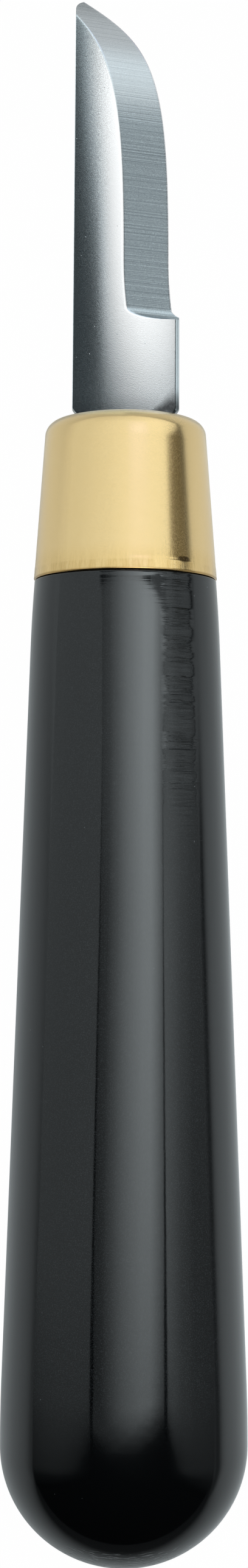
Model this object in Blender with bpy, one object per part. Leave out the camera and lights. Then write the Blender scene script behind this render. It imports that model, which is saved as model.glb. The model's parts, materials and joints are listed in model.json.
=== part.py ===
"""Lino cutting tool: a ground steel knife blade, set by its tang in a turned handle under a brass ferrule.

Metres, +Z up. Each piece is modelled upright: the axis of the tool is Z, and the ground face of the
blade looks towards -Y. The empty tool_axis carries the pieces and lays the tool down on z = 0, with
the tip of the blade towards +Y, the ground face up, and the taper of the handle along the table.
"""

import math

import bmesh
import bpy
from mathutils import Vector

MM = 0.001

# Handle, turned in wood and lacquered
HANDLE_LENGTH = 81.6 * MM  # from the butt to the shoulder under the ferrule
BELLY_DIAMETER = 20.62 * MM  # widest place of the handle
NECK_DIAMETER = 15.36 * MM  # at the shoulder under the ferrule
BUTT_LENGTH = 9.8 * MM  # rounded end, up to the widest place
BELLY_EASE = 5.6 * MM  # stretch in which the belly turns into the straight taper
NECK_EASE = 5.4 * MM  # stretch in which the taper turns in to the ferrule
NECK_DROP = 0.11 * MM  # how far the neck lies inside the line of the taper

# Ferrule, a cup drawn from brass sheet
FERRULE_HEIGHT = 13.42 * MM
FERRULE_WALL = 0.6 * MM
FERRULE_TAPER = math.radians(4.25)  # lean of its wall to the axis
FERRULE_SHOULDER_RADIUS = 1.25 * MM  # outside, between wall and crown
FERRULE_STEP = 0.04 * MM  # how far its rim stands out past the neck
RIM_ROUND = 0.25 * MM  # rolled outer edge of the rim

# Blade, stamped from crowned strip and ground on one side
BLADE_LENGTH = 36.24 * MM  # from the shoulders to the tip
BLADE_WIDTH = 9.08 * MM
BLADE_THICKNESS = 1.5 * MM  # at the crown of its front face
CROWN_RISE = 0.4 * MM  # how far the crown stands above the two long edges of the strip
STRIP_EDGE_RADIUS = 0.28 * MM  # rolled long edges of the front face
SPINE_DRAFT = 0.25 * MM  # how far the spine leans in over the length of the blade
SHOULDER_CHAMFER = 0.9 * MM  # cut corners where the blade stands on the ferrule
TIP_RADIUS = 0.95 * MM  # rounded corner between the spine and the tip

# Bevel, ground across the front face by the corner of a wheel
GRIND_START = 8.52 * MM  # from the shoulders to the step where the bevel begins
GRIND_ANGLE = math.radians(21.35)  # between the bevel and the flat back
GRIND_CORNER_RADIUS = 1.05 * MM  # hollow that the corner of the wheel leaves at the step
EDGE_SETBACK = 0.9 * MM  # straight cutting edge behind the long edge of the strip
EDGE_STRAIGHT = 5.6 * MM  # from the step to where the cutting edge begins to curve
EDGE_FLARE = 0.4 * MM  # how far the cutting edge runs out at the step
EDGE_FLARE_LENGTH = 5.2 * MM  # stretch in which it runs out
TIP_WIDTH = 0.59 * MM  # from the spine to the point where the curved edge ends
TIP_SLOPE = math.radians(32.4)  # lean of the cutting edge at the tip, from square to the axis
BELLY_PULL = 16.1 * MM  # reach of the edge's curve along the straight edge
TIP_PULL = 7.2 * MM  # reach of the edge's curve along the slope at the tip

# Tang and its bed in the handle
TANG_LENGTH = 27.0 * MM  # from the shoulders of the blade to its end
TANG_WIDTH = 4.6 * MM  # at the shoulders
TANG_END_WIDTH = 2.8 * MM
BEDDING_WALL = 0.5 * MM  # least resin between a corner of the tang and the wood
BEDDING_FLOOR = 1.6 * MM  # resin under the end of the tang
BEDDING_RECESS = 0.4 * MM  # top of the resin below the end of the tenon

SEAT_GAP = 0.25 * MM  # clearance between pieces that touch
CUT_MARGIN = 2.0 * MM  # how far a cutter reaches past what it cuts

TURN_STEPS = 48  # sides of a turned piece, a multiple of 4 so that a flat one is at the back
ARC_STEPS = 6  # sides of a rounded corner
CURVE_STEPS = 18  # sides of the butt, of the crown and of the curved cutting edge
EASE_STEPS = 4  # sides of the eased stretches of the handle and of the straight cutting edge
SHARP_ANGLE = math.radians(30)  # edges that turn by more stay crisp in the shading
WELD_DISTANCE = 1e-7  # points this close are one, such as those of a profile on its axis

FERRULE_FOOT = HANDLE_LENGTH + SEAT_GAP
BLADE_FOOT = FERRULE_FOOT + FERRULE_HEIGHT + SEAT_GAP
TENON_INSET = FERRULE_WALL + SEAT_GAP
TENON_TOP = FERRULE_FOOT + FERRULE_HEIGHT - TENON_INSET
BEDDING_RADIUS = math.hypot(TANG_WIDTH, BLADE_THICKNESS) / 2 + SEAT_GAP + BEDDING_WALL
BEDDING_FOOT = BLADE_FOOT - TANG_LENGTH - SEAT_GAP - BEDDING_FLOOR
SOCKET_RADIUS = BEDDING_RADIUS + SEAT_GAP
SOCKET_FLOOR = BEDDING_FOOT - SEAT_GAP


def finish(name, color, roughness, metallic):
    material = bpy.data.materials.new(name)
    material.use_nodes = True
    shader = material.node_tree.nodes["Principled BSDF"]
    shader.inputs["Base Color"].default_value = (*color, 1)
    shader.inputs["Roughness"].default_value = roughness
    shader.inputs["Metallic"].default_value = metallic
    return material


def piece(name, bm, material=None):
    """The mesh as a named object, closed and facing out. Without a material it is a cutter."""
    bmesh.ops.remove_doubles(bm, verts=bm.verts, dist=WELD_DISTANCE)
    bmesh.ops.recalc_face_normals(bm, faces=bm.faces)
    mesh = bpy.data.meshes.new(name)
    bm.to_mesh(mesh)
    bm.free()
    mesh.shade_smooth()
    mesh.set_sharp_from_angle(angle=SHARP_ANGLE)
    obj = bpy.data.objects.new(name, mesh)
    bpy.context.collection.objects.link(obj)
    if material:
        mesh.materials.append(material)
    else:
        obj.hide_render = True
        obj.display_type = "WIRE"
    return obj


def turned(name, profile, material):
    """A solid of revolution from (radius, height) points that start and end on the axis."""
    bm = bmesh.new()
    half_side = math.pi / TURN_STEPS
    across = Vector((math.cos(half_side), math.sin(half_side), 0))
    verts = [bm.verts.new(across * radius + Vector((0, 0, height))) for radius, height in profile]
    edges = [bm.edges.new(pair) for pair in zip(verts, verts[1:])]
    bmesh.ops.spin(
        bm,
        geom=verts + edges,
        axis=(0, 0, 1),
        angle=2 * math.pi,
        steps=TURN_STEPS,
        use_merge=True,
    )
    return piece(name, bm, material)


def swept(name, rings, material=None):
    """A solid through rings of as many points each, closed by its first and its last ring."""
    bm = bmesh.new()
    start = [bm.verts.new(point) for point in rings[0]]
    end = bm.faces.new(start)
    for ring in rings[1:]:
        end = bmesh.ops.extrude_discrete_faces(bm, faces=[end])["faces"][0]
        for vert, point in zip(end.verts, ring):
            vert.co = point
    bm.faces.new(reversed(start))
    return piece(name, bm, material)


def cut(obj, cutter, operation="DIFFERENCE"):
    cutter.parent = obj
    modifier = obj.modifiers.new(cutter.name, "BOOLEAN")
    modifier.operation = operation
    modifier.object = cutter
    modifier.solver = "EXACT"


def arc(center, radius, start, stop, steps=ARC_STEPS):
    """Points on an arc in a plane, its angles in radians."""
    turns = [start + (stop - start) * step / steps for step in range(steps + 1)]
    return [(center[0] + radius * math.cos(t), center[1] + radius * math.sin(t)) for t in turns]


def handle_taper():
    """Loss of radius for each length along the straight taper, which meets both easings smoothly."""
    straight = HANDLE_LENGTH - BUTT_LENGTH - BELLY_EASE - NECK_EASE
    lost = (BELLY_DIAMETER - NECK_DIAMETER) / 2 - NECK_DROP
    return lost / (BELLY_EASE / 2 + straight + NECK_EASE)


def handle_outside():
    """(radius, height) points from the middle of the butt up to the shoulder under the ferrule."""
    belly = BELLY_DIAMETER / 2
    taper = handle_taper()
    neck_start = HANDLE_LENGTH - NECK_EASE
    points = []
    for step in range(CURVE_STEPS + 1):
        turn = math.pi / 2 * step / CURVE_STEPS
        points.append((belly * math.sin(turn), BUTT_LENGTH * (1 - math.cos(turn))))
    for step in range(1, EASE_STEPS + 1):
        share = step / EASE_STEPS
        points.append((belly - taper * BELLY_EASE * share**2 / 2, BUTT_LENGTH + BELLY_EASE * share))
    for step in range(EASE_STEPS + 1):
        share = step / EASE_STEPS
        left = taper * NECK_EASE * (1 - share) + NECK_DROP * (1 - share**2)
        points.append((NECK_DIAMETER / 2 + left, neck_start + NECK_EASE * share))
    return points


def cup_outline(inset, foot):
    """(radius, height) points up the ferrule's wall and in to its axis, from the height foot.

    Heights are above the rim. The outline lies inside the outer one by the inset.
    """
    rim = NECK_DIAMETER / 2 + FERRULE_STEP
    corner = max(FERRULE_SHOULDER_RADIUS, inset)
    center_height = FERRULE_HEIGHT - corner

    def wall_radius(height, depth):
        return rim - height * math.tan(FERRULE_TAPER) - depth / math.cos(FERRULE_TAPER)

    center = (wall_radius(center_height, corner), center_height)
    shoulder = arc(center, corner - inset, FERRULE_TAPER, math.pi / 2)
    return [(wall_radius(foot, inset), foot), *shoulder, (0, FERRULE_HEIGHT - inset)]


def make_handle():
    tenon = [
        (radius, FERRULE_FOOT + height)
        for radius, height in cup_outline(TENON_INSET, -SEAT_GAP)
        if radius > SOCKET_RADIUS
    ]
    socket = [(SOCKET_RADIUS, TENON_TOP), (SOCKET_RADIUS, SOCKET_FLOOR), (0, SOCKET_FLOOR)]
    lacquer = finish("black_lacquer", (0.006, 0.0065, 0.007), 0.12, 0)
    return turned("handle", handle_outside() + tenon + socket, lacquer)


def make_ferrule():
    outer_radius, _ = cup_outline(0, 0)[0]
    inner_radius, _ = cup_outline(FERRULE_WALL, 0)[0]
    rolled = min(RIM_ROUND, (outer_radius - inner_radius) / 2)
    rim = arc((outer_radius - rolled, rolled), rolled, -math.pi / 2, 0)
    outside = rim + cup_outline(0, rolled)[1:]
    inside = cup_outline(FERRULE_WALL, 0)
    brass = finish("brass", (0.83, 0.65, 0.3), 0.3, 1)
    ferrule = turned("ferrule", inside[::-1] + outside, brass)
    ferrule.location.z = FERRULE_FOOT
    slot = swept("tang_slot", tang_rings(SEAT_GAP + FERRULE_WALL + CUT_MARGIN, SEAT_GAP))
    slot.location.z = BLADE_FOOT - FERRULE_FOOT
    cut(ferrule, slot)
    return ferrule


def tang_width(height):
    """Width of the tang at a height above the shoulders of the blade, below which it narrows."""
    return TANG_WIDTH + (TANG_WIDTH - TANG_END_WIDTH) * height / TANG_LENGTH


def tang_rings(depth, gap):
    """Two rectangles round the tang, from depth below the shoulders, with the gap on every side."""
    half_thickness = BLADE_THICKNESS / 2 + gap
    rings = []
    for height in (-depth, CUT_MARGIN):
        half_width = tang_width(height) / 2 + gap
        rings.append(
            [
                (-half_width, -half_thickness, height),
                (half_width, -half_thickness, height),
                (half_width, half_thickness, height),
                (-half_width, half_thickness, height),
            ]
        )
    return rings


def make_bedding():
    height = TENON_TOP - BEDDING_RECESS - BEDDING_FOOT
    outline = [(0, 0), (BEDDING_RADIUS, 0), (BEDDING_RADIUS, height), (0, height)]
    bedding = turned("tang_bedding", outline, finish("resin", (0.2, 0.13, 0.06), 0.45, 0))
    bedding.location.z = BEDDING_FOOT
    pocket = swept("tang_pocket", tang_rings(TANG_LENGTH + SEAT_GAP, SEAT_GAP))
    pocket.location.z = BLADE_FOOT - BEDDING_FOOT
    cut(bedding, pocket)
    return bedding


def spine_at(height):
    """How far the spine of the blade lies from the axis at a height above the shoulders."""
    return -BLADE_WIDTH / 2 + SPINE_DRAFT * height / BLADE_LENGTH


def strip_section(height):
    """Section of the crowned strip: a flat back, and a front that is an arc between rolled edges."""
    left = spine_at(height)
    right = BLADE_WIDTH / 2
    back = BLADE_THICKNESS / 2
    half = (right - left) / 2
    crown_radius = (half**2 + CROWN_RISE**2) / (2 * CROWN_RISE)
    crown_center = crown_radius - BLADE_THICKNESS / 2
    edge = min(STRIP_EDGE_RADIUS, (BLADE_THICKNESS - CROWN_RISE) / 2)
    # The rolled edge touches the side of the strip and the crown from inside.
    reach = crown_radius - edge
    lean = math.asin((half - edge) / reach)
    edge_height = crown_center - reach * math.cos(lean)
    middle = (left + right) / 2
    up = -math.pi / 2
    front = arc((left + edge, edge_height), edge, math.pi, 1.5 * math.pi - lean, ARC_STEPS // 2)
    front += arc((middle, crown_center), crown_radius, up - lean, up + lean, CURVE_STEPS)[1:-1]
    front += arc((right - edge, edge_height), edge, up + lean, 0, ARC_STEPS // 2)
    return [(x, y, height) for x, y in [*front, (right, back), (left, back)]]


def stamped_outline():
    """(across, height) points of the blade and its tang, past the strip's own long edges."""
    far = BLADE_WIDTH / 2 + CUT_MARGIN
    cut_corner = BLADE_WIDTH / 2 - SHOULDER_CHAMFER
    tip_center = (spine_at(BLADE_LENGTH - TIP_RADIUS) + TIP_RADIUS, BLADE_LENGTH - TIP_RADIUS)
    right = [
        (TANG_END_WIDTH / 2, -TANG_LENGTH),
        (TANG_WIDTH / 2, 0),
        (cut_corner, 0),
        (far, far - cut_corner),
        (far, BLADE_LENGTH),
    ]
    tip = arc(tip_center, TIP_RADIUS, math.pi / 2, math.pi)
    left = [
        (-far, tip_center[1]),
        (-far, far - cut_corner),
        (-cut_corner, 0),
        (-TANG_WIDTH / 2, 0),
        (-TANG_END_WIDTH / 2, -TANG_LENGTH),
    ]
    return right + tip + left


def cutting_edge():
    """(across, height) points of the cutting edge on the flat back, from the step to past the tip."""
    straight = BLADE_WIDTH / 2 - EDGE_SETBACK
    points = []
    for step in range(ARC_STEPS + 1):
        turn = math.pi / 2 * step / ARC_STEPS
        hollow = GRIND_CORNER_RADIUS * (1 - math.sin(turn)) / math.sin(GRIND_ANGLE)
        points.append((straight + hollow, GRIND_START + GRIND_CORNER_RADIUS * (1 - math.cos(turn))))
    for step in range(1, EASE_STEPS):
        lift = GRIND_CORNER_RADIUS + (EDGE_STRAIGHT - GRIND_CORNER_RADIUS) * step / EASE_STEPS
        points.append((straight, GRIND_START + lift))
    slope = Vector((-math.cos(TIP_SLOPE), math.sin(TIP_SLOPE)))
    start = Vector((straight, GRIND_START + EDGE_STRAIGHT))
    tip = Vector((spine_at(BLADE_LENGTH) + TIP_WIDTH, BLADE_LENGTH))
    pulls = (start, start + Vector((0, BELLY_PULL)), tip - slope * TIP_PULL, tip)
    for step in range(CURVE_STEPS + 1):
        share = step / CURVE_STEPS
        weights = ((1 - share) ** 3, 3 * share * (1 - share) ** 2, 3 * share**2 * (1 - share), share**3)
        points.append(sum((pull * weight for pull, weight in zip(pulls, weights)), Vector((0, 0))))
    points.append(tip + slope * CUT_MARGIN)
    return [(across + edge_flare(height), height) for across, height in points]


def edge_flare(height):
    """How far the cutting edge runs out towards the step at a height above the shoulders."""
    left = 1 - (height - GRIND_START) / EDGE_FLARE_LENGTH
    return EDGE_FLARE * max(left, 0) ** 2


def wheel_rings():
    """Sections of the ground-off space: the bevel slants from the cutting edge up to the front."""
    front = -BLADE_THICKNESS / 2 - CUT_MARGIN
    back = BLADE_THICKNESS / 2 + CUT_MARGIN
    lean = 1 / math.tan(GRIND_ANGLE)
    far = BLADE_WIDTH + GRIND_CORNER_RADIUS / math.sin(GRIND_ANGLE) + CUT_MARGIN * lean
    rings = []
    for across, height in cutting_edge():
        rings.append(
            [
                (across - (BLADE_THICKNESS + CUT_MARGIN) * lean, front, height),
                (far, front, height),
                (far, back, height),
                (across + CUT_MARGIN * lean, back, height),
            ]
        )
    return rings


def make_blade():
    steel = finish("steel", (0.58, 0.62, 0.64), 0.28, 1)
    strip = [strip_section(-TANG_LENGTH - CUT_MARGIN), strip_section(BLADE_LENGTH + CUT_MARGIN)]
    blade = swept("blade", strip, steel)
    blade.location.z = BLADE_FOOT
    deep = BLADE_THICKNESS / 2 + CUT_MARGIN
    outline = stamped_outline()
    stamp = swept("stamp", [[(x, y, z) for x, z in outline] for y in (-deep, deep)])
    cut(blade, stamp, "INTERSECT")
    cut(blade, swept("grinding_wheel", wheel_rings()))
    return blade


def lay_down(axis, pieces):
    """Turns the tool onto its back, and puts the middle of its underside at the origin."""
    flat_taper = handle_taper() * math.cos(math.pi / TURN_STEPS)
    axis.rotation_euler.x = -math.pi / 2 - math.atan(flat_taper)
    bpy.context.view_layer.update()
    graph = bpy.context.evaluated_depsgraph_get()
    points = []
    for obj in pieces:
        shape = obj.evaluated_get(graph)
        points += [shape.matrix_world @ vert.co for vert in shape.data.vertices]
    low = Vector(map(min, zip(*points)))
    high = Vector(map(max, zip(*points)))
    middle = (low + high) / 2
    axis.location -= Vector((middle.x, middle.y, low.z))
    bpy.context.view_layer.update()


def main():
    for obj in list(bpy.data.objects):
        bpy.data.objects.remove(obj, do_unlink=True)
    axis = bpy.data.objects.new("tool_axis", None)
    bpy.context.collection.objects.link(axis)
    pieces = [make_handle(), make_ferrule(), make_bedding(), make_blade()]
    for obj in pieces:
        obj.parent = axis
    lay_down(axis, pieces)


main()
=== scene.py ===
import json
import math
from functools import partial

import bmesh
import bpy
from mathutils import Matrix, Vector


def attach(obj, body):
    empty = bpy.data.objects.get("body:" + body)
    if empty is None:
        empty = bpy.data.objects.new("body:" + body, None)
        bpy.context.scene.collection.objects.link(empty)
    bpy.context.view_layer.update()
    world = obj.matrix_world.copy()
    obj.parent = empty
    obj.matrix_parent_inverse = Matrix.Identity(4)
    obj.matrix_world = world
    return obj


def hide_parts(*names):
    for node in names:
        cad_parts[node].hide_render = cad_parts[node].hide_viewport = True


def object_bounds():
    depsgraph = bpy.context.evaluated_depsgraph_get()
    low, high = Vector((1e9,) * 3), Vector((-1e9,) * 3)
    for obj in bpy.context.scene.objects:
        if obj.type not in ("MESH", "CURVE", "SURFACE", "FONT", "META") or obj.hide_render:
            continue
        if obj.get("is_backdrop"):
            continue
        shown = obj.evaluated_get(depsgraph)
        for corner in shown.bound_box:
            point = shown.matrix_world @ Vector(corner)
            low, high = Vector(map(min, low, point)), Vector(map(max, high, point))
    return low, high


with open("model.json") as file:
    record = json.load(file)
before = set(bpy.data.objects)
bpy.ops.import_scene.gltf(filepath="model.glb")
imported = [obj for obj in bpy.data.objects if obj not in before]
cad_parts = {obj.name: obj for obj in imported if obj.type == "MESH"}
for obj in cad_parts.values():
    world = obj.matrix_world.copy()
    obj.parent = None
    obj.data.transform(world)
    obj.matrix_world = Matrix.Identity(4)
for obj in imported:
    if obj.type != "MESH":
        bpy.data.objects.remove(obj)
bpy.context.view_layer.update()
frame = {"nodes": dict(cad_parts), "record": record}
mm = 0.001
weld = 0.0005 * mm  # points closer than this are one
print("frame loaded:", sorted(frame["nodes"]))

# The tool's own directions: across the blade, along it from the butt, and up out of the ground face
across = Vector((1, 0, 0))
faceUp = -Vector(frame["record"]["mounts"][0]["axis"]).normalized()
along = faceUp.cross(across)
butt = min((v.co for v in frame["nodes"]["handle"].data.vertices), key=lambda co: co.y).copy()
toolPlace = Matrix.Translation(butt) @ Matrix((across, along, faceUp)).transposed().to_4x4()


# Small helpers for meshes and nodes

def solve(offset, low, high, rounds=40):  # where a rising function passes through 0
    for _ in range(rounds):
        middle = (low + high) / 2
        if offset(middle) < 0:
            low = middle
        else:
            high = middle
    return (low + high) / 2


def addPiece(name, bm, material, nodeName, sharpDegrees=35):
    bmesh.ops.remove_doubles(bm, verts=bm.verts, dist=weld)
    bmesh.ops.recalc_face_normals(bm, faces=bm.faces)
    bmesh.ops.transform(bm, matrix=toolPlace, verts=bm.verts)
    mesh = bpy.data.meshes.new(name)
    bm.to_mesh(mesh)
    bm.free()
    mesh.shade_smooth()
    mesh.set_sharp_from_angle(angle=math.radians(sharpDegrees))
    mesh.materials.append(material)
    piece = bpy.data.objects.new(name, mesh)
    bpy.context.scene.collection.objects.link(piece)
    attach(piece, "root")
    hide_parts(nodeName)
    print("piece:", name, len(mesh.polygons), "faces")
    return piece


def spinProfile(bm, points, steps):  # (radius, along) points turned about the tool's axis
    verts = [bm.verts.new((radius, height, 0)) for radius, height in points]
    edges = [bm.edges.new(pair) for pair in zip(verts, verts[1:])]
    bmesh.ops.spin(bm, geom=verts + edges, axis=(0, 1, 0), cent=(0, 0, 0),
                   angle=2 * math.pi, steps=steps, use_merge=True)


def arcPoints(centre, radius, start, stop, steps):
    turns = [start + (stop - start) * i / steps for i in range(steps + 1)]
    return [(centre[0] + radius * math.cos(t), centre[1] + radius * math.sin(t)) for t in turns]


def add(tree, kind, inputs=None, **settings):
    node = tree.nodes.new("ShaderNode" + kind)
    for name, value in settings.items():
        setattr(node, name, value)
    for key, value in (inputs or {}).items():
        if isinstance(value, bpy.types.NodeSocket):
            tree.links.new(value, node.inputs[key])
        else:
            node.inputs[key].default_value = value
    return node


def math2(tree, operation, a, b=0.0, clamp=False):
    return add(tree, "Math", {0: a, 1: b}, operation=operation, use_clamp=clamp).outputs[0]


def plus(tree, a, b):
    return math2(tree, "ADD", a, b)


def minus(tree, a, b):
    return math2(tree, "SUBTRACT", a, b)


def times(tree, value, *factors):
    for factor in factors:
        value = math2(tree, "MULTIPLY", value, factor)
    return value


def fade(tree, value, start, stop):  # 0 before start, 1 past stop, smooth between
    ramp = add(tree, "MapRange", {"Value": value, "From Min": start, "From Max": stop},
               interpolation_type="SMOOTHSTEP")
    return ramp.outputs["Result"]


def window(tree, value, rise, fall):  # 1 between two soft edges
    return times(tree, fade(tree, value, *rise), fade(tree, value, *fall))


def ranged(tree, value, low, high):  # from low at 0 to high at 1
    return add(tree, "MapRange", {"Value": value, "To Min": low, "To Max": high}).outputs["Result"]


def swung(tree, value, middle, swing):
    return ranged(tree, value, middle - swing, middle + swing)


def noise(tree, vector, scale, detail, roughness=0.5):
    return add(tree, "TexNoise", {"Vector": vector, "Scale": scale, "Detail": detail,
                                  "Roughness": roughness}).outputs["Fac"]


def mixValue(tree, factor, a, b):
    return add(tree, "Mix", {0: factor, 2: a, 3: b}, data_type="FLOAT").outputs[0]


def mixColor(tree, factor, a, b):
    node = add(tree, "Mix", {0: factor}, data_type="RGBA")
    for index, value in ((6, a), (7, b)):
        if isinstance(value, bpy.types.NodeSocket):
            tree.links.new(value, node.inputs[index])
        else:
            node.inputs[index].default_value = (*value, 1)
    return node.outputs[2]


def scaleColor(tree, color, level):
    return add(tree, "VectorMath", {0: color, "Scale": level}, operation="SCALE").outputs[0]


def newMaterial(name):
    material = bpy.data.materials.new(name)
    material.use_nodes = True
    tree = material.node_tree
    return material, tree, tree.nodes["Principled BSDF"]


def toolCoordinates(tree):  # millimetres across, along from the butt, and up
    turn = toolPlace.to_3x3().transposed()
    moved = -(turn @ butt) / mm
    coordinates = add(tree, "TexCoord").outputs["Object"]
    mapping = add(tree, "Mapping", {"Vector": coordinates, "Location": moved,
                                    "Rotation": turn.to_euler(), "Scale": (1 / mm,) * 3})
    return mapping.outputs["Vector"]


def axesOf(tree, vector):
    return add(tree, "SeparateXYZ", {0: vector}).outputs


def addBump(tree, shader, height):  # height in mm
    bump = add(tree, "Bump", {"Height": height, "Distance": mm, "Strength": 1.0})
    tree.links.new(bump.outputs["Normal"], shader.inputs["Normal"])


# Surface effects that several finishes share

def newGroup(name, values, results):  # takes a vector and values, gives values
    tree = bpy.data.node_groups.new(name, "ShaderNodeTree")
    tree.interface.new_socket("Vector", in_out="INPUT", socket_type="NodeSocketVector")
    for label, value in values.items():
        socket = tree.interface.new_socket(label, in_out="INPUT", socket_type="NodeSocketFloat")
        socket.default_value = value
    for label in results:
        tree.interface.new_socket(label, in_out="OUTPUT", socket_type="NodeSocketFloat")
    return tree, tree.nodes.new("NodeGroupInput").outputs, tree.nodes.new("NodeGroupOutput").inputs


def makeStreakLines():  # fine lines that run across and around, and change along the tool
    tree, given, result = newGroup("streakLines", {"Lines per mm": 8.0, "Breaks per mm": 0.1},
                                   ("Value", "Broad"))
    x, y, z = axesOf(tree, given["Vector"])
    stretched = add(tree, "CombineXYZ", {0: times(tree, x, given["Breaks per mm"]),
                                         1: times(tree, y, given["Lines per mm"]),
                                         2: times(tree, z, given["Breaks per mm"])}).outputs[0]
    tree.links.new(noise(tree, stretched, 1.0, 2.0, roughness=0.6), result["Value"])
    tree.links.new(noise(tree, stretched, 0.21, 2.0), result["Broad"])
    return tree


def makeSatinGrain():  # the close mottle of a blasted or tumbled metal
    tree, given, result = newGroup("satinGrain", {"Grains per mm": 6.0}, ("Value", "Cloud"))
    grains = given["Grains per mm"]
    cloud = noise(tree, given["Vector"], times(tree, grains, 0.12), 3.0)
    tree.links.new(noise(tree, given["Vector"], grains, 3.0, roughness=0.6), result["Value"])
    tree.links.new(cloud, result["Cloud"])
    return tree


def makeCloseFlecks():  # flecks that lighten and darken a surface
    tree, given, result = newGroup("closeFlecks", {"Flecks per mm": 12.0, "Shade": 1.0},
                                   ("Value", "Level"))
    fleck = noise(tree, given["Vector"], given["Flecks per mm"], 1.0)
    level = plus(tree, times(tree, minus(tree, fleck, 0.5), given["Shade"]), 1.0)
    tree.links.new(fleck, result["Value"])
    tree.links.new(level, result["Level"])
    return tree


def makeSpecks():  # scattered round dots, such as dust or pits
    tree, given, result = newGroup(
        "scatteredSpecks", {"Cells per mm": 1.0, "Share": 0.2, "Radius": 0.1}, ("Mask",))
    cells = add(tree, "TexVoronoi", {"Vector": given["Vector"], "Scale": given["Cells per mm"]})
    pick = add(tree, "SeparateColor", {0: cells.outputs["Color"]}).outputs
    chosen = math2(tree, "LESS_THAN", pick[0], given["Share"])
    size = times(tree, given["Radius"], plus(tree, pick[1], 0.35))
    inside = fade(tree, cells.outputs["Distance"], size, times(tree, size, 0.5))
    tree.links.new(times(tree, inside, chosen), result["Mask"])
    return tree


def useGroup(tree, group, vector, values):
    return add(tree, "Group", {"Vector": vector, **values}, node_tree=group).outputs


streakLines = makeStreakLines()
satinGrain = makeSatinGrain()
closeFlecks = makeCloseFlecks()
scatteredSpecks = makeSpecks()
print("shared surface effects ready")

# Handle: turned wood under black gloss lacquer

handleSizes = dict(
    length=81.6 * mm,  # butt to the shoulder under the ferrule
    belly=20.62 * mm,
    neck=15.36 * mm,
    buttLength=9.8 * mm,
    bellyEase=5.6 * mm,
    neckEase=5.4 * mm,
    neckDrop=0.11 * mm,
    seat=0.2 * mm,  # the shoulder runs up to the ferrule's rim
    edge=0.12 * mm,  # rounding of the shoulder
    tenon=6.6 * mm,  # radius inside the ferrule
    tenonLength=12.0 * mm,
    steps=192,
    curveSteps=48,
    edgeSteps=4,
)

lacquer = dict(
    color=(0.0012, 0.0014, 0.0016),
    ior=1.54,
    roughness=0.075,
    roughSwing=0.02,
    clouds={"Grains per mm": 2.0},  # of the roughness
    fleck=(0.014, 0.015, 0.016),
    flecks={"Flecks per mm": 12.0},
    fleckCut=(0.45, 0.75),  # a cut is the span of noise over which a mark comes in
    fleckStart=(10.0, 18.0),  # mm from the butt
    dust=(0.16, 0.165, 0.17),
    dustSpecks={"Cells per mm": 0.9, "Share": 0.12, "Radius": 0.06},
    dustShown=0.35,
    waves=0.35,  # per mm
    waveDepth=0.006,  # mm
    scuff=(0.13, 0.135, 0.14),
    lathe={"Lines per mm": 5.0, "Breaks per mm": 0.22},
    latheCut=(0.5, 0.62),
    latheDepth=(0.0002, 0.002),  # mm, along the handle and at its neck
    latheRoughness=0.05,
    latheScuff=0.06,
    neckStart=(58.0, 69.0),  # mm from the butt, where the turning marks begin to show
    sideRise=(0.36, 0.5),  # radians round from the top, where they break up the light
    sideFall=(0.8, 0.66),
    brokenDepth=0.065,  # mm, there
    clusterCut=(0.42, 0.6),
    clusterDepth=(0.35, 1.3),  # share of it, from cluster to cluster
    rubStrokes={"Rotation": (0, 0, 0.25), "Scale": (0.9, 4.5, 4.5)},
    rubCut=(0.54, 0.68),
    rubRise=(0.3, 1.2),  # mm from the butt, where its end has been rubbed
    rubFall=(3.4, 2.2),
    rubDepth=0.04,  # mm
    rubScuff=0.8,
)


def handleProfile(s):
    belly = s["belly"] / 2
    straight = s["length"] - s["buttLength"] - s["bellyEase"] - s["neckEase"]
    lost = belly - s["neck"] / 2 - s["neckDrop"]
    taper = lost / (s["bellyEase"] / 2 + straight + s["neckEase"])
    points = []
    for i in range(s["curveSteps"] + 1):  # domed butt
        turn = math.pi / 2 * i / s["curveSteps"]
        points.append((belly * math.sin(turn), s["buttLength"] * (1 - math.cos(turn))))
    easeSteps = s["curveSteps"] // 3
    for i in range(1, easeSteps + 1):  # belly turning into the taper
        share = i / easeSteps
        points.append((belly - taper * s["bellyEase"] * share ** 2 / 2,
                       s["buttLength"] + s["bellyEase"] * share))
    neckStart = s["length"] - s["neckEase"]
    for i in range(easeSteps + 1):  # taper turning in to the ferrule
        share = i / easeSteps
        left = taper * s["neckEase"] * (1 - share) + s["neckDrop"] * (1 - share ** 2)
        points.append((s["neck"] / 2 + left, neckStart + s["neckEase"] * share))
    top = s["length"] + s["seat"]
    neck = s["neck"] / 2
    points += arcPoints((neck - s["edge"], top - s["edge"]), s["edge"], 0, math.pi / 2,
                        s["edgeSteps"])
    end = top + s["tenonLength"]
    points += [(s["tenon"], top), (s["tenon"], end), (0, end)]
    return points


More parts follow.
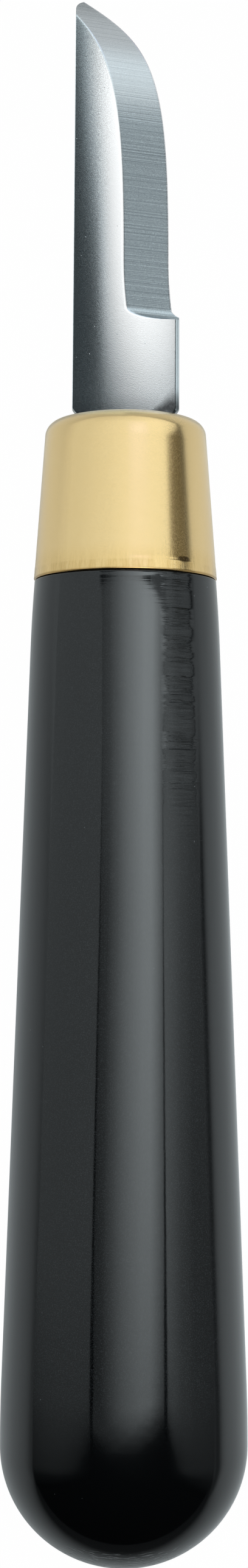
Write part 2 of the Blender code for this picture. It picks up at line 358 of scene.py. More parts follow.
def makeLacquer(look):
    material, tree, shader = newMaterial("blackLacquer")
    shader.inputs["IOR"].default_value = look["ior"]
    place = toolCoordinates(tree)
    x, y, z = axesOf(tree, place)
    turn = math2(tree, "ARCTAN2", x, z)
    lathe = useGroup(tree, streakLines, place, look["lathe"])
    neck = fade(tree, y, *look["neckStart"])
    side = window(tree, turn, look["sideRise"], look["sideFall"])
    marked = times(tree, fade(tree, lathe["Value"], *look["latheCut"]), neck, side)
    strokes = add(tree, "Mapping", {"Vector": place, **look["rubStrokes"]}).outputs["Vector"]
    rubbed = times(tree, fade(tree, noise(tree, strokes, 1.0, 3.0), *look["rubCut"]),
                   window(tree, y, look["rubRise"], look["rubFall"]))

    fleck = useGroup(tree, closeFlecks, place, look["flecks"])["Value"]
    flecked = times(tree, fade(tree, fleck, *look["fleckCut"]), fade(tree, y, *look["fleckStart"]))
    color = mixColor(tree, flecked, look["color"], look["fleck"])
    dust = useGroup(tree, scatteredSpecks, place, look["dustSpecks"])["Mask"]
    color = mixColor(tree, times(tree, dust, look["dustShown"]), color, look["dust"])
    scuffed = math2(tree, "MAXIMUM", times(tree, marked, look["latheScuff"]),
                    times(tree, rubbed, look["rubScuff"]))
    tree.links.new(mixColor(tree, scuffed, color, look["scuff"]), shader.inputs["Base Color"])

    cloud = useGroup(tree, satinGrain, place, look["clouds"])["Cloud"]
    rough = swung(tree, cloud, look["roughness"], look["roughSwing"])
    rough = plus(tree, rough, times(tree, marked, look["latheRoughness"]))
    tree.links.new(rough, shader.inputs["Roughness"])

    depth = ranged(tree, neck, *look["latheDepth"])
    clusters = ranged(tree, fade(tree, lathe["Broad"], *look["clusterCut"]), *look["clusterDepth"])
    depth = plus(tree, depth, times(tree, neck, side, look["brokenDepth"], clusters))
    wave = times(tree, noise(tree, place, look["waves"], 2.0), look["waveDepth"])
    height = plus(tree, times(tree, lathe["Value"], depth), wave)
    addBump(tree, shader, minus(tree, height, times(tree, rubbed, look["rubDepth"])))
    return material


def buildHandle(s):
    bm = bmesh.new()
    spinProfile(bm, handleProfile(s), s["steps"])
    return addPiece("lacqueredHandle", bm, makeLacquer(lacquer), "handle")


buildHandle(handleSizes)

# Ferrule: a cup drawn from brass sheet, turned in at its foot

ferruleSizes = dict(
    foot=81.85 * mm,
    height=13.42 * mm,
    rim=15.44 * mm,  # diameter at the foot
    wall=0.6 * mm,
    taper=math.radians(4.25),
    shoulder=1.25 * mm,
    band=0.88 * mm,  # height of the turned-in band
    bandRise=0.014 * mm,
    bandFall=0.3 * mm,  # over which it falls back into the wall
    wallStart=0.4 * mm,  # above the band
    lip=0.16 * mm,
    lipEase=0.02 * mm,
    slotWidth=5.1 * mm,
    slotThickness=2.0 * mm,
    slotRing=1.35,  # ring round the slot, in half widths of it
    steps=192,
    arcSteps=12,
    lipSteps=5,
    rings=6,
)

brassLook = dict(
    color=(0.93, 0.665, 0.325),
    deep=(0.9, 0.625, 0.275),
    deepCut=(0.35, 0.75),
    deepClouds=0.15,
    deepFoot=0.7,
    scored=(0.76, 0.5, 0.19),
    scoreCut=(0.45, 0.62),
    blotchCut=(0.42, 0.58),
    scoreShown=0.4,
    scoreAbove=0.3,  # share of it above the band
    bandMarks={"Lines per mm": 6.0, "Breaks per mm": 0.8},  # upright, in the band
    bandRadius=7.7,  # mm, on which they are laid out
    bandEdge=(0.1, -0.15),  # mm above the band's top
    bandReach=1.6,
    bandDents=0.006,  # mm
    # painted shade: a dark brown line along the foot, where the ferrule meets the handle
    rim=(0.42, 0.25, 0.09),
    footShadeEdge=(0.26, 0.08),  # mm above the foot
    footShadeShown=0.8,
    nick=(0.2, 0.13, 0.06),
    nickPlace=(0.68, 0.16),  # radians round from the top, and mm above the band's top
    nickSize=(0.095, 0.27),
    nickCut=(0.22, 0.52),
    roughness=0.18,
    roughRise=0.06,
    roughCut=(0.42, 0.68),
    grain={"Grains per mm": 9.0},
    grainDepth=0.0007,  # mm
    flecks=12.0,  # per mm
    fleckShade=(0.081, 0.54),  # all round, and in the dark stripe
    stripeRise=(0.46, 0.56),  # radians round from the top
    stripeFall=(0.84, 0.74),
    lean=0.14,  # how far the drawn wall's grain turns the light along the tool
    bandLean=0.13,  # the band is turned in, so it leans more
    softEnd=93.0,  # mm from the butt, where the wall starts to round into the shoulder
    softening=0.05,
)


def buildFerrule(s):
    rim = s["rim"] / 2
    top = s["height"]
    corner = s["shoulder"]

    def wallRadius(height, depth):
        return rim - height * math.tan(s["taper"]) - depth / math.cos(s["taper"])

    outerCentre = (wallRadius(top - corner, corner), top - corner)
    lip = s["lip"]
    hole = s["slotWidth"] / 2
    rings = s["rings"]
    outside = [(wallRadius(0, s["wall"]), s["lipEase"])]
    outside += arcPoints((rim + s["bandRise"] - lip, lip), lip, -math.pi / 2, 0, s["lipSteps"])
    for i in range(1, rings + 1):  # the band leans with the wall
        height = lip + (s["band"] - lip) * i / rings
        outside.append((wallRadius(height, 0) + s["bandRise"], height))
    for i in range(1, rings + 1):  # and falls back into it
        share = i / rings
        height = s["band"] + s["bandFall"] * share
        rise = s["bandRise"] * (1 + math.cos(math.pi * share)) / 2
        outside.append((wallRadius(height, 0) + rise, height))
    wallStart, wallEnd = s["band"] + s["wallStart"], top - corner * 0.99
    for i in range(rings + 1):  # rings that keep the wall straight
        height = wallStart + (wallEnd - wallStart) * i / rings
        outside.append((wallRadius(height, 0), height))
    outside += arcPoints(outerCentre, corner, s["taper"], math.pi / 2, s["arcSteps"])
    outside += [(hole * s["slotRing"], top), (hole, top)]
    inside = [(hole, top - s["wall"]), (wallRadius(top - s["wall"], s["wall"]), top - s["wall"])]
    inside += [outside[0]]
    bm = bmesh.new()
    spinProfile(bm, [(r, h + s["foot"]) for r, h in outside + inside], s["steps"])
    bmesh.ops.remove_doubles(bm, verts=bm.verts, dist=weld)
    for vert in bm.verts:  # the inner rings become the slot for the tang
        if vert.co.xz.length < hole * 1.01:
            vert.co.xz = slotPoint(math.atan2(vert.co.z, vert.co.x), s)
    return addPiece("brassFerrule", bm, makeBrass(brassLook), "ferrule")


def slotPoint(turn, s):
    ray = (math.cos(turn), math.sin(turn))
    halves = (s["slotWidth"] / 2, s["slotThickness"] / 2)
    reach = min(half / max(abs(part), 1e-6) for half, part in zip(halves, ray))
    return Vector(ray) * reach


def makeBrass(look):
    material, tree, shader = newMaterial("satinBrass")
    shader.inputs["Metallic"].default_value = 1.0
    place = toolCoordinates(tree)
    x, y, z = axesOf(tree, place)
    turn = math2(tree, "ARCTAN2", x, z)
    foot = ferruleSizes["foot"] / mm
    bandTop = (ferruleSizes["foot"] + ferruleSizes["band"]) / mm
    inBand = fade(tree, y, *(bandTop + rise for rise in look["bandEdge"]))
    nearBand = fade(tree, y, bandTop + look["bandReach"], bandTop)
    around = add(tree, "CombineXYZ", {0: y, 1: times(tree, turn, look["bandRadius"])}).outputs[0]
    marks = useGroup(tree, streakLines, around, look["bandMarks"])
    grain = useGroup(tree, satinGrain, place, look["grain"])

    clouded = times(tree, fade(tree, grain["Cloud"], *look["deepCut"]), look["deepClouds"])
    wall = mixColor(tree, clouded, look["color"], look["deep"])
    wall = mixColor(tree, times(tree, nearBand, look["deepFoot"]), wall, look["deep"])
    low = math2(tree, "MAXIMUM", inBand, times(tree, nearBand, look["scoreAbove"]))
    blotched = plus(tree, fade(tree, marks["Value"], *look["scoreCut"]),
                    fade(tree, marks["Broad"], *look["blotchCut"]))
    wall = mixColor(tree, times(tree, blotched, look["scoreShown"], low), wall, look["scored"])
    # painted shade along the foot, where the ferrule meets the handle
    inFootShade = fade(tree, y, *(foot + rise for rise in look["footShadeEdge"]))
    wall = mixColor(tree, times(tree, inFootShade, look["footShadeShown"]), wall, look["rim"])
    stripe = window(tree, turn, look["stripeRise"], look["stripeFall"])
    flecks = useGroup(tree, closeFlecks, place, {"Flecks per mm": look["flecks"],
                                                 "Shade": ranged(tree, stripe, *look["fleckShade"])})
    wall = scaleColor(tree, wall, flecks["Level"])
    nickTurn, nickRise = look["nickPlace"]
    nickWidth, nickHeight = look["nickSize"]
    sideways = math2(tree, "DIVIDE", minus(tree, turn, nickTurn), nickWidth)
    upwards = math2(tree, "DIVIDE", minus(tree, y, bandTop + nickRise), nickHeight)
    spot = plus(tree, math2(tree, "POWER", sideways, 2.0), math2(tree, "POWER", upwards, 2.0))
    nicked = times(tree, fade(tree, spot, 1.2, 0.4), fade(tree, grain["Value"], *look["nickCut"]))
    tree.links.new(mixColor(tree, nicked, wall, look["nick"]), shader.inputs["Base Color"])

    rough = ranged(tree, fade(tree, grain["Value"], *look["roughCut"]),
                   look["roughness"], look["roughness"] + look["roughRise"])
    tree.links.new(rough, shader.inputs["Roughness"])

    dents = times(tree, marks["Value"], nearBand, look["bandDents"])
    height = plus(tree, times(tree, grain["Value"], look["grainDepth"]), dents)
    height = minus(tree, height, times(tree, y, look["lean"]))
    upTo = math2(tree, "MINIMUM", y, bandTop)
    height = minus(tree, height, times(tree, upTo, look["bandLean"]))
    past = math2(tree, "MAXIMUM", minus(tree, y, look["softEnd"]), 0.0)
    eased = times(tree, math2(tree, "POWER", past, 2.0), look["softening"])
    addBump(tree, shader, minus(tree, height, eased))
    return material


buildFerrule(ferruleSizes)

# Blade: stamped from crowned strip, with one bevel ground across its front

bladeSizes = dict(
    foot=95.52 * mm,
    seat=0.2 * mm,  # the shoulders stand on the ferrule
    length=36.24 * mm,
    width=9.08 * mm,
    thickness=1.5 * mm,
    crown=0.4 * mm,
    edgeRadius=0.42 * mm,
    spineRadius=0.05 * mm,
    draft=0.25 * mm,
    chamfer=0.9 * mm,
    tipRadius=0.95 * mm,
    grindStart=8.52 * mm,
    grindAngle=math.radians(21.35),
    hollow=1.05 * mm,
    setback=0.9 * mm,
    straight=5.6 * mm,
    flare=0.4 * mm,
    flareLength=5.2 * mm,
    tipWidth=0.59 * mm,
    tipSlope=math.radians(32.4),
    bellyPull=16.1 * mm,
    tipPull=7.2 * mm,
    keenness=0.03 * mm,  # left at the cutting edge
    arris=0.02 * mm,  # softness of the line between face and bevel
    tangLength=27.0 * mm,
    tangWidth=4.6 * mm,
    tangEndWidth=2.8 * mm,
    tangOverlap=0.3 * mm,  # up into the blade
    tangInset=0.05 * mm,
    rollShare=0.1,  # the most of a row that a rolled edge may take
    lineMargin=0.02,  # and the least between it and the grind line
    columns=(8, 40, 40, 8),  # rolled spine, face, bevel, rolled edge
    rows=(44, 64, 190, 54),  # plain strip, step, blade, tip
    stepRows=(-0.2 * mm, 1.6 * mm),  # where the close rows of the step begin and end
    tipRows=2.2 * mm,  # and those of the tip begin
)

steelLook = dict(
    face=(0.75, 0.815, 0.845),
    bevel=(0.35, 0.39, 0.415),
    bevelLight=(0.56, 0.61, 0.635),
    tipStart=(120.5, 123.9),  # mm from the butt
    paintedTipLight=(1.33, 1.26, 1.235),  # painted light: the bevel's colour is made so much brighter towards the tip
    endStart=(125.4, 128.4),
    paintedEndShade=(0.7, 0.67, 0.66),  # painted shade: and so much darker at its very end
    lines={"Lines per mm": 8.0, "Breaks per mm": 0.03},  # left by the wheel
    lineRange=(0.15, 0.3),  # fainter at the tip
    lineDepth=0.006,  # mm
    pit=(0.3, 0.33, 0.35),
    pits={"Cells per mm": 2.6, "Share": 0.22, "Radius": 0.13},
    pitShown=0.5,
    pitDepth=0.003,  # mm
    flecks=15.0,  # per mm
    fleckShade=1.2,
    wornLeft=(-1.0, -2.4),  # mm across, where they show on the face
    faceFlecks=(0.1, 1.0),  # share of them elsewhere and there
    bevelFlecks=(0.8, 0.35),  # and on the bevel and its tip
    # grime and painted shade: the blade is darkened just above the ferrule, partly as dirt and partly as
    # the shade of the joint
    grimeAndShade=(0.1, 0.108, 0.112),
    grimeAndShadeFilm=0.4,
    filmHeight=2.6,  # mm above the ferrule
    grimeAndShadeRight=(1.6, 4.4),  # mm across, where it reaches higher
    grimeAndShadeHeight=(0.8, 2.6),
    grimeAndShadeEdge=(1.15, 0.4),  # in such heights
    cutLevel=(0.36, 0.28),  # mm up, on the cut shoulders
    cutHeight=(1.3, 0.9),
    patches=(0.85, 1.1),
    faceRoughness=0.125,
    faceSwing=0.04,
    bevelRoughness=0.22,
    bevelSwing=0.1,
    grain={"Grains per mm": 13.0},
    grainDepth=0.0013,  # mm
)


def spineAt(s, height):
    return -s["width"] / 2 + s["draft"] * height / s["length"]


def leftAt(s, height):  # spine, cut shoulder and rounded tip
    left = spineAt(s, height) + max(0, s["chamfer"] - max(height, 0))
    over = height - (s["length"] - s["tipRadius"])
    if over > 0:
        left += s["tipRadius"] - math.sqrt(max(s["tipRadius"] ** 2 - over ** 2, 0))
    return left


def edgeCurve(s, share):
    straight = s["width"] / 2 - s["setback"]
    slope = Vector((-math.cos(s["tipSlope"]), math.sin(s["tipSlope"])))
    start = Vector((straight, s["grindStart"] + s["straight"]))
    tip = Vector((spineAt(s, s["length"]) + s["tipWidth"], s["length"]))
    first = start + Vector((0, s["bellyPull"]))
    second = tip - slope * s["tipPull"]
    rest = 1 - share
    return (start * rest ** 3 + first * 3 * share * rest ** 2
            + second * 3 * share ** 2 * rest + tip * share ** 3)


def edgeAt(s, height):  # where the bevel meets the flat back
    rise = height - s["grindStart"]
    flare = s["flare"] * max(1 - rise / s["flareLength"], 0) ** 2
    if rise < s["hollow"]:
        turn = math.acos(1 - max(rise, 0) / s["hollow"])
        flare += s["hollow"] * (1 - math.sin(turn)) / math.sin(s["grindAngle"])
    if rise < s["straight"]:
        return s["width"] / 2 - s["setback"] + flare
    share = solve(lambda t: edgeCurve(s, t).y - height, 0, 1)
    return edgeCurve(s, share).x + flare


def crownAt(s, x, height):  # crowned front of the strip with its rolled long edges
    left = spineAt(s, height)
    right = s["width"] / 2
    half = (right - left) / 2
    radius = (half ** 2 + s["crown"] ** 2) / (2 * s["crown"])
    offset = x - (left + right) / 2
    edge = s["edgeRadius"] if offset > 0 else s["spineRadius"]
    lean = math.asin((half - edge) / (radius - edge))
    if abs(offset) <= radius * math.sin(lean):
        return s["thickness"] - radius + math.sqrt(radius ** 2 - offset ** 2)
    centre = s["thickness"] - radius + (radius - edge) * math.cos(lean)
    beyond = min(abs(offset) - (half - edge), edge)
    return centre + math.sqrt(max(edge ** 2 - beyond ** 2, 0))


def groundAt(s, x, height, edge):
    if height < s["grindStart"]:
        return s["thickness"] * 4  # above the face, so nothing is cut
    return (edge - x) * math.tan(s["grindAngle"])


def grindLineAt(s, height):  # where the bevel meets the crowned face
    level = max(height, s["grindStart"] + s["hollow"])
    edge = edgeAt(s, level)
    left = spineAt(s, level)
    return solve(lambda x: crownAt(s, x, level) - groundAt(s, x, level, edge), left, s["width"] / 2)


def tipHeight(s):
    low = s["length"] - s["tipRadius"]
    return solve(lambda h: leftAt(s, h) - edgeAt(s, h), low, s["length"])


def spread(share, counts, stops):  # even steps between stops, with so many steps in each stretch
    step = share * sum(counts)
    for count, start, stop in zip(counts, stops, stops[1:]):
        if step <= count + 1e-6:
            return start + (stop - start) * step / count
        step -= count
    return stops[-1]


def bladeRow(s, height):  # stops across the blade at one height
    left = leftAt(s, height)
    edge = edgeAt(s, height)
    right = s["width"] / 2 - max(0, s["chamfer"] - max(height, 0))
    if height >= s["grindStart"]:
        right = min(right, max(edge, left))
    room = right - left
    keen = s["edgeRadius"] if height < s["grindStart"] + s["hollow"] else s["keenness"] * 2
    roll, keen = (min(width, room * s["rollShare"]) for width in (s["spineRadius"], keen))
    margin = room * s["lineMargin"]
    line = min(max(grindLineAt(s, height), left + roll + margin), right - keen - margin)
    return (left, left + roll, line, right - keen, right), edge


def softLeast(a, b, softness):
    return (a + b - math.sqrt((a - b) ** 2 + softness ** 2)) / 2


def buildBlade(s):
    bm = bmesh.new()
    top = tipHeight(s)
    stepLow, stepHigh = (s["grindStart"] + rise for rise in s["stepRows"])
    stops = (-s["seat"], stepLow, stepHigh, top - s["tipRows"], top)
    bmesh.ops.create_grid(bm, x_segments=sum(s["columns"]), y_segments=sum(s["rows"]), size=1)
    ground = bm.verts.layers.float.new("ground")  # 1 where the wheel has cut
    level = bm.verts.layers.float.new("level")  # height of the front above the back
    rows = {}
    for vert in bm.verts:
        u = (vert.co.x + 1) / 2
        v = round((vert.co.y + 1) / 2, 6)
        if v not in rows:
            height = spread(v, s["rows"], stops)
            rows[v] = (height, *bladeRow(s, height))
        height, places, edge = rows[v]
        x = spread(u, s["columns"], places)
        face = crownAt(s, x, height)
        bevel = groundAt(s, x, height, edge)
        vert[level] = max(softLeast(face, bevel, s["arris"]), s["keenness"])
        vert[ground] = min(max((face - bevel) / (2 * s["arris"]) + 0.5, 0), 1)
        vert.co = (x, s["foot"] + height, -s["thickness"] / 2)
    raised = bmesh.ops.extrude_face_region(bm, geom=bm.faces[:], use_keep_orig=True)["geom"]
    for item in raised:
        if isinstance(item, bmesh.types.BMVert):
            item.co.z += item[level]
    bm.verts.layers.float.remove(level)
    addTang(bm, s)
    return addPiece("groundBlade", bm, makeSteel(steelLook), "blade")


def addTang(bm, s):
    thick = s["thickness"] / 2 - s["tangInset"]
    for vert in bmesh.ops.create_cube(bm, size=1)["verts"]:
        low = vert.co.y < 0
        half = (s["tangEndWidth"] if low else s["tangWidth"]) / 2
        level = -s["tangLength"] if low else s["tangOverlap"]
        vert.co = (math.copysign(half, vert.co.x), s["foot"] + level, math.copysign(thick, vert.co.z))


def makeSteel(look):
    material, tree, shader = newMaterial("bladeSteel")
    shader.inputs["Metallic"].default_value = 1.0
    place = toolCoordinates(tree)
    x, y, z = axesOf(tree, place)
    ground = add(tree, "Attribute", attribute_name="ground").outputs["Fac"]
    grain = useGroup(tree, satinGrain, place, look["grain"])
    lines = useGroup(tree, streakLines, place, look["lines"])["Value"]
    pits = useGroup(tree, scatteredSpecks, place, look["pits"])["Mask"]
    atTip = fade(tree, y, *look["tipStart"])

    reach = ranged(tree, atTip, *look["lineRange"])
    lined = add(tree, "MapRange", {"Value": lines, "From Min": minus(tree, 0.5, reach),
                                   "From Max": plus(tree, 0.5, reach)}).outputs["Result"]
    bevel = mixColor(tree, lined, look["bevel"], look["bevelLight"])
    color = mixColor(tree, ground, look["face"], bevel)
    # painted light and shade: the bevel's colour is brightened towards the tip and darkened at its very
    # end
    paintedEndReach = fade(tree, y, *look["endStart"])
    for part, change in ((atTip, look["paintedTipLight"]), (paintedEndReach, look["paintedEndShade"])):
        changed = add(tree, "VectorMath", {0: color, 1: change}, operation="MULTIPLY").outputs[0]
        color = mixColor(tree, times(tree, part, ground), color, changed)
    worn = ranged(tree, fade(tree, x, *look["wornLeft"]), *look["faceFlecks"])
    worn = mixValue(tree, ground, worn, ranged(tree, atTip, *look["bevelFlecks"]))
    flecks = useGroup(tree, closeFlecks, place, {"Flecks per mm": look["flecks"],
                                                 "Shade": times(tree, worn, look["fleckShade"])})
    color = scaleColor(tree, color, flecks["Level"])
    color = mixColor(tree, times(tree, pits, look["pitShown"]), color, look["pit"])

    # grime and painted shade just above the ferrule, reaching higher to the right and on the cut
    # shoulders, in patches
    above = minus(tree, y, bladeSizes["foot"] / mm)
    film = times(tree, fade(tree, above, look["filmHeight"], 0.0), look["grimeAndShadeFilm"])
    high = ranged(tree, fade(tree, x, *look["grimeAndShadeRight"]), *look["grimeAndShadeHeight"])
    soiledAndShaded = fade(tree, math2(tree, "DIVIDE", above, high), *look["grimeAndShadeEdge"])
    cut = times(tree, fade(tree, z, *look["cutLevel"]), fade(tree, above, *look["cutHeight"]))
    for part in (film, cut):
        soiledAndShaded = math2(tree, "MAXIMUM", soiledAndShaded, part)
    patchy = add(tree, "MapRange", {"Value": grain["Cloud"], "From Min": 0.3, "From Max": 0.7,
                                    "To Min": look["patches"][0], "To Max": look["patches"][1]})
    soiledAndShaded = math2(tree, "MULTIPLY", soiledAndShaded, patchy.outputs["Result"], clamp=True)
    tree.links.new(mixColor(tree, soiledAndShaded, color, look["grimeAndShade"]), shader.inputs["Base Color"])

    rough = mixValue(tree, ground, swung(tree, grain["Value"], look["faceRoughness"], look["faceSwing"]),
                     swung(tree, lines, look["bevelRoughness"], look["bevelSwing"]))
    tree.links.new(rough, shader.inputs["Roughness"])

    faceHeight = minus(tree, times(tree, grain["Value"], look["grainDepth"]),
                       times(tree, pits, look["pitDepth"]))
    addBump(tree, shader, mixValue(tree, ground, faceHeight, times(tree, lines, look["lineDepth"])))
    return material


buildBlade(bladeSizes)

# Bedding: set resin round the tang, hidden in the handle

resinLook = dict(
    color=(0.2, 0.13, 0.06),
    dark=(0.12, 0.075, 0.035),
    roughness=0.45,
    roughSwing=0.1,
    grain={"Grains per mm": 2.5},
)


def dressBedding(look):
    material, tree, shader = newMaterial("setResin")
    grain = useGroup(tree, satinGrain, toolCoordinates(tree), look["grain"])
    color = mixColor(tree, grain["Cloud"], look["color"], look["dark"])
    rough = swung(tree, grain["Value"], look["roughness"], look["roughSwing"])
    tree.links.new(color, shader.inputs["Base Color"])
    tree.links.new(rough, shader.inputs["Roughness"])
    bedding = frame["nodes"]["tang_bedding"]
    bedding.data.materials.clear()
    bedding.data.materials.append(material)


dressBedding(resinLook)
print("bedding dressed")

# Stage: a plain white floor under soft panels

daylight = (0.91, 1.0, 1.025)
floorLook = dict(
    color=(0.78, 0.78, 0.78),
    size=3.0,
    drop=0.02 * mm,  # just under the tool
    seenWhite=0.99,
    mirroredWhite=0.05,
    mirroredBack=0.3,  # more of it beyond the handle
    mirroredFar=0.25,  # and still more out to the left there
    back=(0.0, 0.035),  # metres towards the tip
    farLeft=(-0.03, -0.12),
    duskRight=(0.04, 0.15),  # where the paper falls into shade in reflections
    rightEase={"From Min": 0.22, "From Max": 0.45, "To Min": 0.85, "To Max": 0.4},
    duskNear=(0.04, 0.14),
    nearSlant=0.3,
    duskLeft=((-0.03, -0.2), (0.0, -0.1)),
    leftShade=0.4,
    duskBeyond=((0.07, 0.13), (0.03, 0.08)),  # beyond the ferrule, to the right
    beyondShade=0.9,
)


def addStagePiece(name, bm, materialName):
    mesh = bpy.data.meshes.new(name)
    bm.to_mesh(mesh)
    bm.free()
    piece = bpy.data.objects.new(name, mesh)
    bpy.context.scene.collection.objects.link(piece)
    material, tree, shader = newMaterial(materialName)
    tree.nodes.remove(shader)
    mesh.materials.append(material)
    return piece, tree, tree.nodes["Material Output"].inputs["Surface"]


def buildFloor(look):
    bm = bmesh.new()
    bmesh.ops.create_grid(bm, x_segments=1, y_segments=1, size=look["size"] / 2)
    low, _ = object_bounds()
    bmesh.ops.translate(bm, verts=bm.verts, vec=(0, 0, low.z - look["drop"]))
    floor, tree, surface = addStagePiece("paleFloor", bm, "palePaper")
    x, y, _ = axesOf(tree, add(tree, "TexCoord").outputs["Object"])
    path = add(tree, "LightPath").outputs
    mirrored = math2(tree, "ADD", path["Is Glossy Ray"], path["Is Transmission Ray"], clamp=True)
    back = fade(tree, y, *look["back"])

    def corner(acrossSpan, alongSpan):
        return times(tree, fade(tree, x, *acrossSpan), fade(tree, y, *alongSpan))

    ease = add(tree, "MapRange", {"Value": x, **look["rightEase"]}).outputs["Result"]
    right = times(tree, fade(tree, x, *look["duskRight"]), ease, minus(tree, 1.0, back))
    slant = times(tree, math2(tree, "ABSOLUTE", x), look["nearSlant"])
    dusk = fade(tree, times(tree, plus(tree, y, slant), -1.0), *look["duskNear"])
    left = times(tree, corner(*look["duskLeft"]), look["leftShade"])
    beyond = times(tree, corner(*look["duskBeyond"]), look["beyondShade"])
    for part in (right, left, beyond):
        dusk = math2(tree, "MAXIMUM", dusk, part)
    shade = mixColor(tree, times(tree, mirrored, dusk), look["color"], (0, 0, 0))
    matte = add(tree, "BsdfDiffuse", {"Color": shade})
    paper = mixColor(tree, mirrored, (1, 1, 1), daylight)
    white = add(tree, "Emission", {"Color": paper, "Strength": 1.0})

    far = times(tree, fade(tree, x, *look["farLeft"]), look["mirroredFar"])
    glare = ranged(tree, back, look["mirroredWhite"], plus(tree, far, look["mirroredBack"]))
    glare = times(tree, mirrored, glare, minus(tree, 1.0, beyond))
    seen = times(tree, path["Is Camera Ray"], look["seenWhite"])
    share = math2(tree, "ADD", seen, glare, clamp=True)
    blend = add(tree, "MixShader", {0: share, 1: matte.outputs[0], 2: white.outputs[0]})
    tree.links.new(blend.outputs[0], surface)
    floor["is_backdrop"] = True


# Soft panels round the tool: ribs with a left end, a right end, and even steps of glow between them
panelSteps = 12
coolGlow = (0.15, 1.0)  # from its cool colour, where it has one, to its tint
keyShape = (0.13, 0.19, 0.37, 0.61, 0.81, 0.97, 0.95, 0.66, 0.34)  # glow from left to right
lowKeyShape = (0.09, 0.14, 0.31, 0.56, 0.77, 0.94, 0.97, 0.68, 0.37)  # and over the butt


def scaled(levels, strength):
    return tuple(level * strength for level in levels)


panels = dict(
    keyPanel=dict(tint=daylight, ribs=(
        ((-0.240, -0.146, 0.455), (0.335, -0.146, 0.455), (0.0, 0.0)),
        ((-0.214, -0.126, 0.416), (0.300, -0.126, 0.416), (0.3, 0.32, 0.34, 0.4, 0.38)),
        ((-0.186, -0.101, 0.368), (0.268, -0.101, 0.368), scaled(lowKeyShape, 2.0)),
        ((-0.153, -0.062, 0.294), (0.225, -0.062, 0.294), scaled(lowKeyShape, 2.6)),
        ((-0.0775, 0.003, 0.171), (0.141, 0.003, 0.171), scaled(lowKeyShape, 3.7)),
        ((-0.0585, 0.023, 0.132), (0.113, 0.023, 0.132), scaled(keyShape, 4.1)),
        ((-0.0515, 0.037, 0.106), (0.099, 0.037, 0.106), scaled(keyShape, 4.3)),
        ((-0.048, 0.043, 0.095), (0.093, 0.043, 0.095), scaled(keyShape, 4.4)),
    )),
    leftPanel=dict(tint=daylight, ribs=(
        ((-0.52, -0.330, 0.0), (-0.300, -0.205, 0.520), (0.0, 0.0)),
        ((-0.52, -0.230, 0.0), (-0.245, -0.150, 0.440), (0.04, 0.05, 0.02)),
        ((-0.52, -0.160, 0.0), (-0.217, -0.101, 0.368), (0.17, 0.3, 0.43)),
        ((-0.52, -0.100, 0.0), (-0.168, -0.062, 0.294), (0.46, 0.58)),
        ((-0.52, 0.030, 0.0), (-0.081, 0.003, 0.171), (0.64, 0.69)),
        ((-0.52, 0.090, 0.0), (-0.059, 0.023, 0.132), (0.66, 0.76)),
        ((-0.52, 0.140, 0.0), (-0.0515, 0.037, 0.106), (0.7, 0.79)),
        ((-0.52, 0.200, 0.0), (-0.048, 0.043, 0.095), (0.7, 0.8)),
    )),
    rightPanel=dict(tint=daylight, ribs=(
        ((0.420, -0.205, 0.520), (0.54, -0.420, 0.006), (0.0, 0.0)),
        ((0.350, -0.150, 0.436), (0.54, -0.300, 0.006), (0.02, 0.05, 0.06)),
        ((0.302, -0.101, 0.368), (0.54, -0.170, 0.006), (1.1, 0.5, 0.31, 0.24, 0.18)),
        ((0.242, -0.062, 0.294), (0.54, -0.080, 0.006), (1.35, 0.65, 0.36, 0.32, 0.3)),
        ((0.145, 0.003, 0.171), (0.54, 0.030, 0.006), (1.45, 0.8, 0.56, 0.47, 0.42)),
        ((0.114, 0.023, 0.132), (0.54, 0.070, 0.006), (1.3, 0.86, 0.66, 0.5, 0.45)),
        ((0.100, 0.037, 0.106), (0.54, 0.110, 0.006), (1.3, 0.62, 0.68, 0.66, 0.64, 0.52, 0.48)),
        ((0.094, 0.043, 0.095), (0.54, 0.140, 0.006), (1.3, 0.6, 0.66, 0.66, 0.62, 0.52, 0.48)),
        ((0.098, 0.058, 0.082), (0.54, 0.240, 0.006), (1.0, 0.55, 0.6, 0.6, 0.6, 0.52, 0.48)),
    )),
)

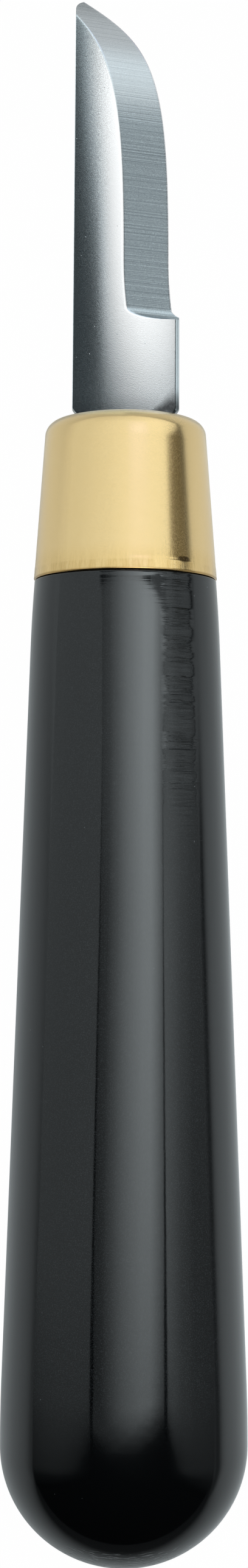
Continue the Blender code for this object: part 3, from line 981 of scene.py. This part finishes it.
# Far panels: degrees towards the tip, degrees at the left and right ends, and the glow between them
farPanels = dict(
    facePanel=dict(tint=(1.065, 1.0, 0.97), cool=(0.74, 1.0, 1.12), distance=4.8, ribs=(
        (13.4, 7, 22, (0.02, 0.1, 0.19, 0.25, 0.27)),
        (14.3, 3.5, 22, (0.05, 0.27, 0.42, 0.5, 0.48)),
        (15.3, -5.5, 22, (0.24, 0.83, 1.12, 1.16, 0.97)),
        (16.6, -9.6, 22, (0.6, 1.26, 1.54, 1.34, 1.0)),
        (19.6, -11.7, 22, (0.5, 1.22, 1.42, 1.34, 1.02)),
        (21.3, -16.3, 22, (0.18, 1.14, 1.38, 1.28, 1.0)),
        (24.3, -21, 22, (0.35, 2.0, 2.2, 1.9, 1.4)),
    )),
    bevelPanel=dict(tint=daylight, distance=4.8, ribs=(
        (12.0, 32, 64, (0.6, 0.58)),
        (18.0, 32, 64, (0.78, 0.74)),
        (20.5, 32, 64, (0.58, 0.54)),
        (22.5, 32, 64, (0.42, 0.36)),
        (27.2, 32, 64, (0.32, 0.28)),
        (28.2, 32, 64, (1.15, 1.15)),
        (31.0, 32, 64, (1.2, 1.2)),
    )),
    glintPanel=dict(tint=(0.92, 1.0, 1.25), distance=4.8, ribs=(
        (37.0, 6, 36, (1.06, 1.08, 1.1, 1.1, 1.1)),
        (42.0, 6, 36, (1.1, 1.24, 1.36, 1.26, 1.14)),
        (48.0, 6, 36, (1.08, 1.1, 1.12, 1.12, 1.12)),
    )),
    rightBackPanel=dict(tint=(1.0, 0.95, 0.66), distance=4.8, ribs=(
        (8.0, 64, 94, (0.1, 0.1)),
        (33.0, 65, 94, (0.1, 0.1)),
    )),
    backPanel=dict(tint=daylight, distance=5.0, ribs=(
        (25.4, -100, 64, (0.75, 0.78, 0.92, 1.0, 1.08, 1.12)),
        (32.0, -100, 65, (0.75, 0.78, 0.92, 1.0, 1.08, 1.12)),
        (35.5, -100, 96, (0.76, 0.8, 0.95, 1.06, 1.12, 0.85)),
        (40.0, -100, 96, (0.76, 0.8, 0.96, 1.08, 1.15, 0.85)),
        (48.0, -100, 98, (0.76, 0.8, 0.95, 1.08, 1.15, 0.85)),
        (56.0, -100, 100, (0.76, 0.78, 0.9, 1.0, 1.1, 0.9)),
        (88.0, -100, 100, (0.75, 0.75, 0.8, 0.85, 0.9, 0.9)),
    )),
    leftBackPanel=dict(tint=daylight, distance=5.0, ribs=(
        (12.0, -100, -33, (0.72, 0.76, 0.84)),
        (25.4, -100, -33, (0.75, 0.79, 0.92)),
    )),
    shadePanel=dict(tint=(0.82, 1.0, 1.08), distance=5.2, ribs=(
        (8.0, -40, 4, (0.036, 0.036)),
        (25.0, -40, 0, (0.036, 0.036)),
    )),
)


def between(a, b, share):
    return a + (b - a) * share


def levelAt(levels, share):
    step = share * (len(levels) - 1)
    index = min(int(step), len(levels) - 2)
    return between(levels[index], levels[index + 1], step - index)


def ribPlace(rib, share):  # the point so far along a rib
    left, right, _ = rib
    return between(Vector(left), Vector(right), share)


def farPlace(distance, rib, share):
    lift, left, right, _ = rib
    lift = math.radians(lift)
    turn = math.radians(between(left, right, share))
    level = math.cos(lift)
    return distance * Vector((level * math.sin(turn), math.sin(lift), level * math.cos(turn)))


def buildPanel(name, look, placeAt):
    ribs = look["ribs"]
    bm = bmesh.new()
    steps = panelSteps * (len(ribs) - 1)
    bmesh.ops.create_grid(bm, x_segments=panelSteps * 2, y_segments=steps, size=1)
    glow = bm.verts.layers.float.new("glow")
    for vert in bm.verts:
        u = (vert.co.x + 1) / 2
        v = (vert.co.y + 1) / 2 * (len(ribs) - 1)
        index = min(int(v + 1e-6), len(ribs) - 2)
        first, second = ribs[index:index + 2]
        vert.co = between(placeAt(first, u), placeAt(second, u), v - index)
        vert[glow] = between(levelAt(first[-1], u), levelAt(second[-1], u), v - index)
    panel, tree, surface = addStagePiece(name, bm, name)
    level = add(tree, "Attribute", attribute_name="glow").outputs["Fac"]
    cool = look.get("cool", look["tint"])
    color = mixColor(tree, fade(tree, level, *coolGlow), cool, look["tint"])
    light = add(tree, "Emission", {"Color": color, "Strength": level})
    tree.links.new(light.outputs[0], surface)
    panel.visible_camera = False
    panel.visible_shadow = False
    panel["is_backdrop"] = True


worldLook = dict(dim=0.006, seen=1.0)  # the panels give the light


def buildWorld(look):
    world = bpy.data.worlds.new("studio")
    bpy.context.scene.world = world
    world.use_nodes = True
    tree = world.node_tree
    shade = tree.nodes["Background"]
    shade.inputs["Color"].default_value = (1, 1, 1, 1)
    seen = add(tree, "LightPath").outputs["Is Camera Ray"]
    tree.links.new(ranged(tree, seen, look["dim"], look["seen"]), shade.inputs["Strength"])


buildFloor(floorLook)
for panelName, panelLook in panels.items():
    buildPanel(panelName, panelLook, ribPlace)
for panelName, panelLook in farPanels.items():
    buildPanel(panelName, panelLook, partial(farPlace, panelLook["distance"]))
buildWorld(worldLook)
print("stage and panels ready")

# Camera: straight above, at the photograph's distance

cameraLook = dict(
    alongTool=64.7 * mm,  # from the butt to the middle of the picture
    height=183 * mm,  # above the tool's axis there
    sideways=-0.082 * mm,
    roll=math.radians(0.107),
    lens=49.92,
    sensor=36.0,
    nearest=0.005,
)


def buildCamera(look):
    data = bpy.data.cameras.new("overhead")
    data.sensor_width = look["sensor"]
    data.lens = look["lens"]
    data.clip_start = look["nearest"]
    camera = bpy.data.objects.new("overhead", data)
    bpy.context.scene.collection.objects.link(camera)
    aim = toolPlace @ Vector((0, look["alongTool"], 0))
    camera.location = aim + Vector((look["sideways"], 0, look["height"]))
    camera.rotation_euler = (0, 0, look["roll"])
    bpy.context.scene.camera = camera


buildCamera(cameraLook)
bpy.context.scene.view_settings.view_transform = "Standard"
